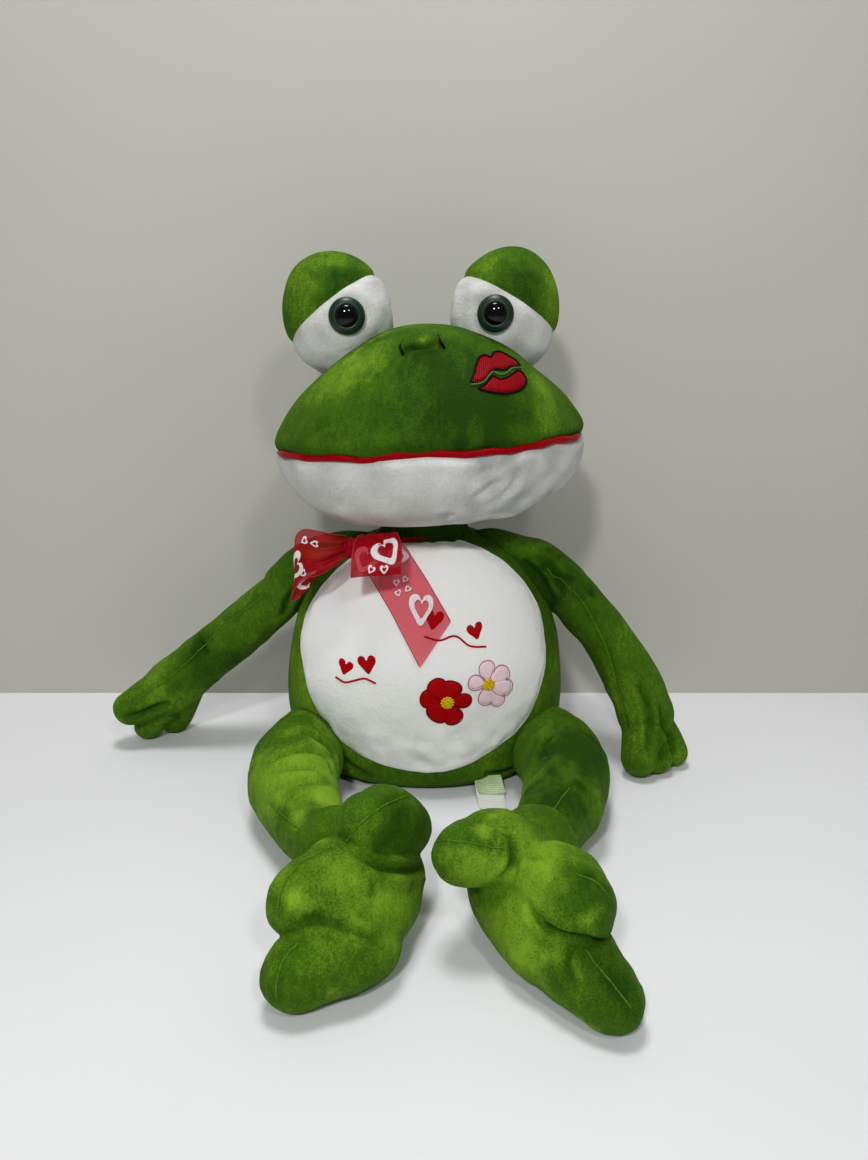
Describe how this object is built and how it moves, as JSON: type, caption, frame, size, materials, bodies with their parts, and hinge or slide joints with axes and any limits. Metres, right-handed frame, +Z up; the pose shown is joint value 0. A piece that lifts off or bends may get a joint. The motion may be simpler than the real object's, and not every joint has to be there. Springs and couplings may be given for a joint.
{
  "type": "plush frog",
  "caption": "Large seated plush frog with bulging eyes, wide mouth, long arms, bent legs, three-toed feet, embroidered flowers and a ribbon bow.",
  "frame": {"origin": "middle of the flat seat, on the table", "axes": "+Z up, -Y the way the frog faces, +X towards the frog's left"},
  "size_m": [0.5061, 0.4348, 0.4284],
  "materials": {
    "green_plush": "short glossy pile",
    "white_plush": "short pile",
    "red_satin": "satin",
    "fibre_filling": "loose fibre",
    "iris_plastic": "gloss",
    "pupil_plastic": "gloss",
    "washer_plastic": "matte",
    "red_thread": "satin stitch",
    "pink_thread": "satin stitch",
    "yellow_thread": "satin stitch",
    "red_organza": "sheer woven",
    "label_tape": "woven tape"
  },
  "bodies": {
    "torso": {"torso_front_cover": "green_plush", "torso_back_cover": "green_plush", "belly_patch": "white_plush", "torso_filling": "fibre_filling", "red_flower_petals": "red_thread", "red_flower_centre": "yellow_thread", "pink_flower_petals": "pink_thread", "pink_flower_centre": "yellow_thread", "ribbon_band": "red_organza", "ribbon_knot": "red_organza", "ribbon_side_loop": "red_organza", "ribbon_front_loop": "red_organza", "ribbon_tail": "red_organza", "care_label": "label_tape", "maker_label": "label_tape"},
    "neck": {"neck_stuffing": "green_plush"},
    "head": {"snout_cover": "green_plush", "jaw_cover": "white_plush", "head_back_cover": "green_plush", "mouth_strip": "red_satin", "head_filling": "fibre_filling", "eye_white_right": "white_plush", "eye_white_left": "white_plush", "eyelid_right": "green_plush", "eyelid_left": "green_plush", "eye_filling_right": "fibre_filling", "eye_filling_left": "fibre_filling", "iris_right": "iris_plastic", "iris_left": "iris_plastic", "pupil_right": "pupil_plastic", "pupil_left": "pupil_plastic", "eye_washer_right": "washer_plastic", "eye_washer_left": "washer_plastic", "kiss_upper_lip": "red_thread", "kiss_lower_lip": "red_thread"},
    "arm_right": {"arm_cover_right": "green_plush", "arm_filling_right": "fibre_filling"},
    "arm_left": {"arm_cover_left": "green_plush", "arm_filling_left": "fibre_filling"},
    "leg_right": {"leg_cover_right": "green_plush", "leg_filling_right": "fibre_filling"},
    "leg_left": {"leg_cover_left": "green_plush", "leg_filling_left": "fibre_filling"},
    "foot_right": {"foot_cover_right": "green_plush", "foot_filling_right": "fibre_filling"},
    "foot_left": {"foot_cover_left": "green_plush", "foot_filling_left": "fibre_filling"}
  },
  "joints": [
    {"name": "neck_turn", "type": "hinge", "parent": "torso", "child": "neck", "pos_m": [0, 0.012, 0.212], "axis": [0, 0, 1], "range_deg": [-20, 20]},
    {"name": "head_nod", "type": "hinge", "parent": "neck", "child": "head", "pos_m": [0, 0.012, 0.212], "axis": [1, 0, 0], "range_deg": [-15, 3]},
    {"name": "arm_right_raise", "type": "hinge", "parent": "torso", "child": "arm_right", "pos_m": [-0.088, 0.014, 0.168], "axis": [0, 1, 0], "range_deg": [0, 50]},
    {"name": "arm_left_raise", "type": "hinge", "parent": "torso", "child": "arm_left", "pos_m": [0.088, 0.014, 0.168], "axis": [0, -1, 0], "range_deg": [0, 50]},
    {"name": "leg_right_lift", "type": "hinge", "parent": "torso", "child": "leg_right", "pos_m": [-0.09, -0.04, 0.034], "axis": [-1, 0, 0], "range_deg": [0, 20]},
    {"name": "leg_left_lift", "type": "hinge", "parent": "torso", "child": "leg_left", "pos_m": [0.09, -0.04, 0.034], "axis": [-1, 0, 0], "range_deg": [0, 20]},
    {"name": "foot_right_flex", "type": "hinge", "parent": "leg_right", "child": "foot_right", "pos_m": [-0.06606, -0.19804, 0.034], "axis": [-1, 0, 0], "range_deg": [-18, 18]},
    {"name": "foot_left_flex", "type": "hinge", "parent": "leg_left", "child": "foot_left", "pos_m": [0.08208, -0.19606, 0.034], "axis": [-1, 0, 0], "range_deg": [-18, 18]}
  ]
}
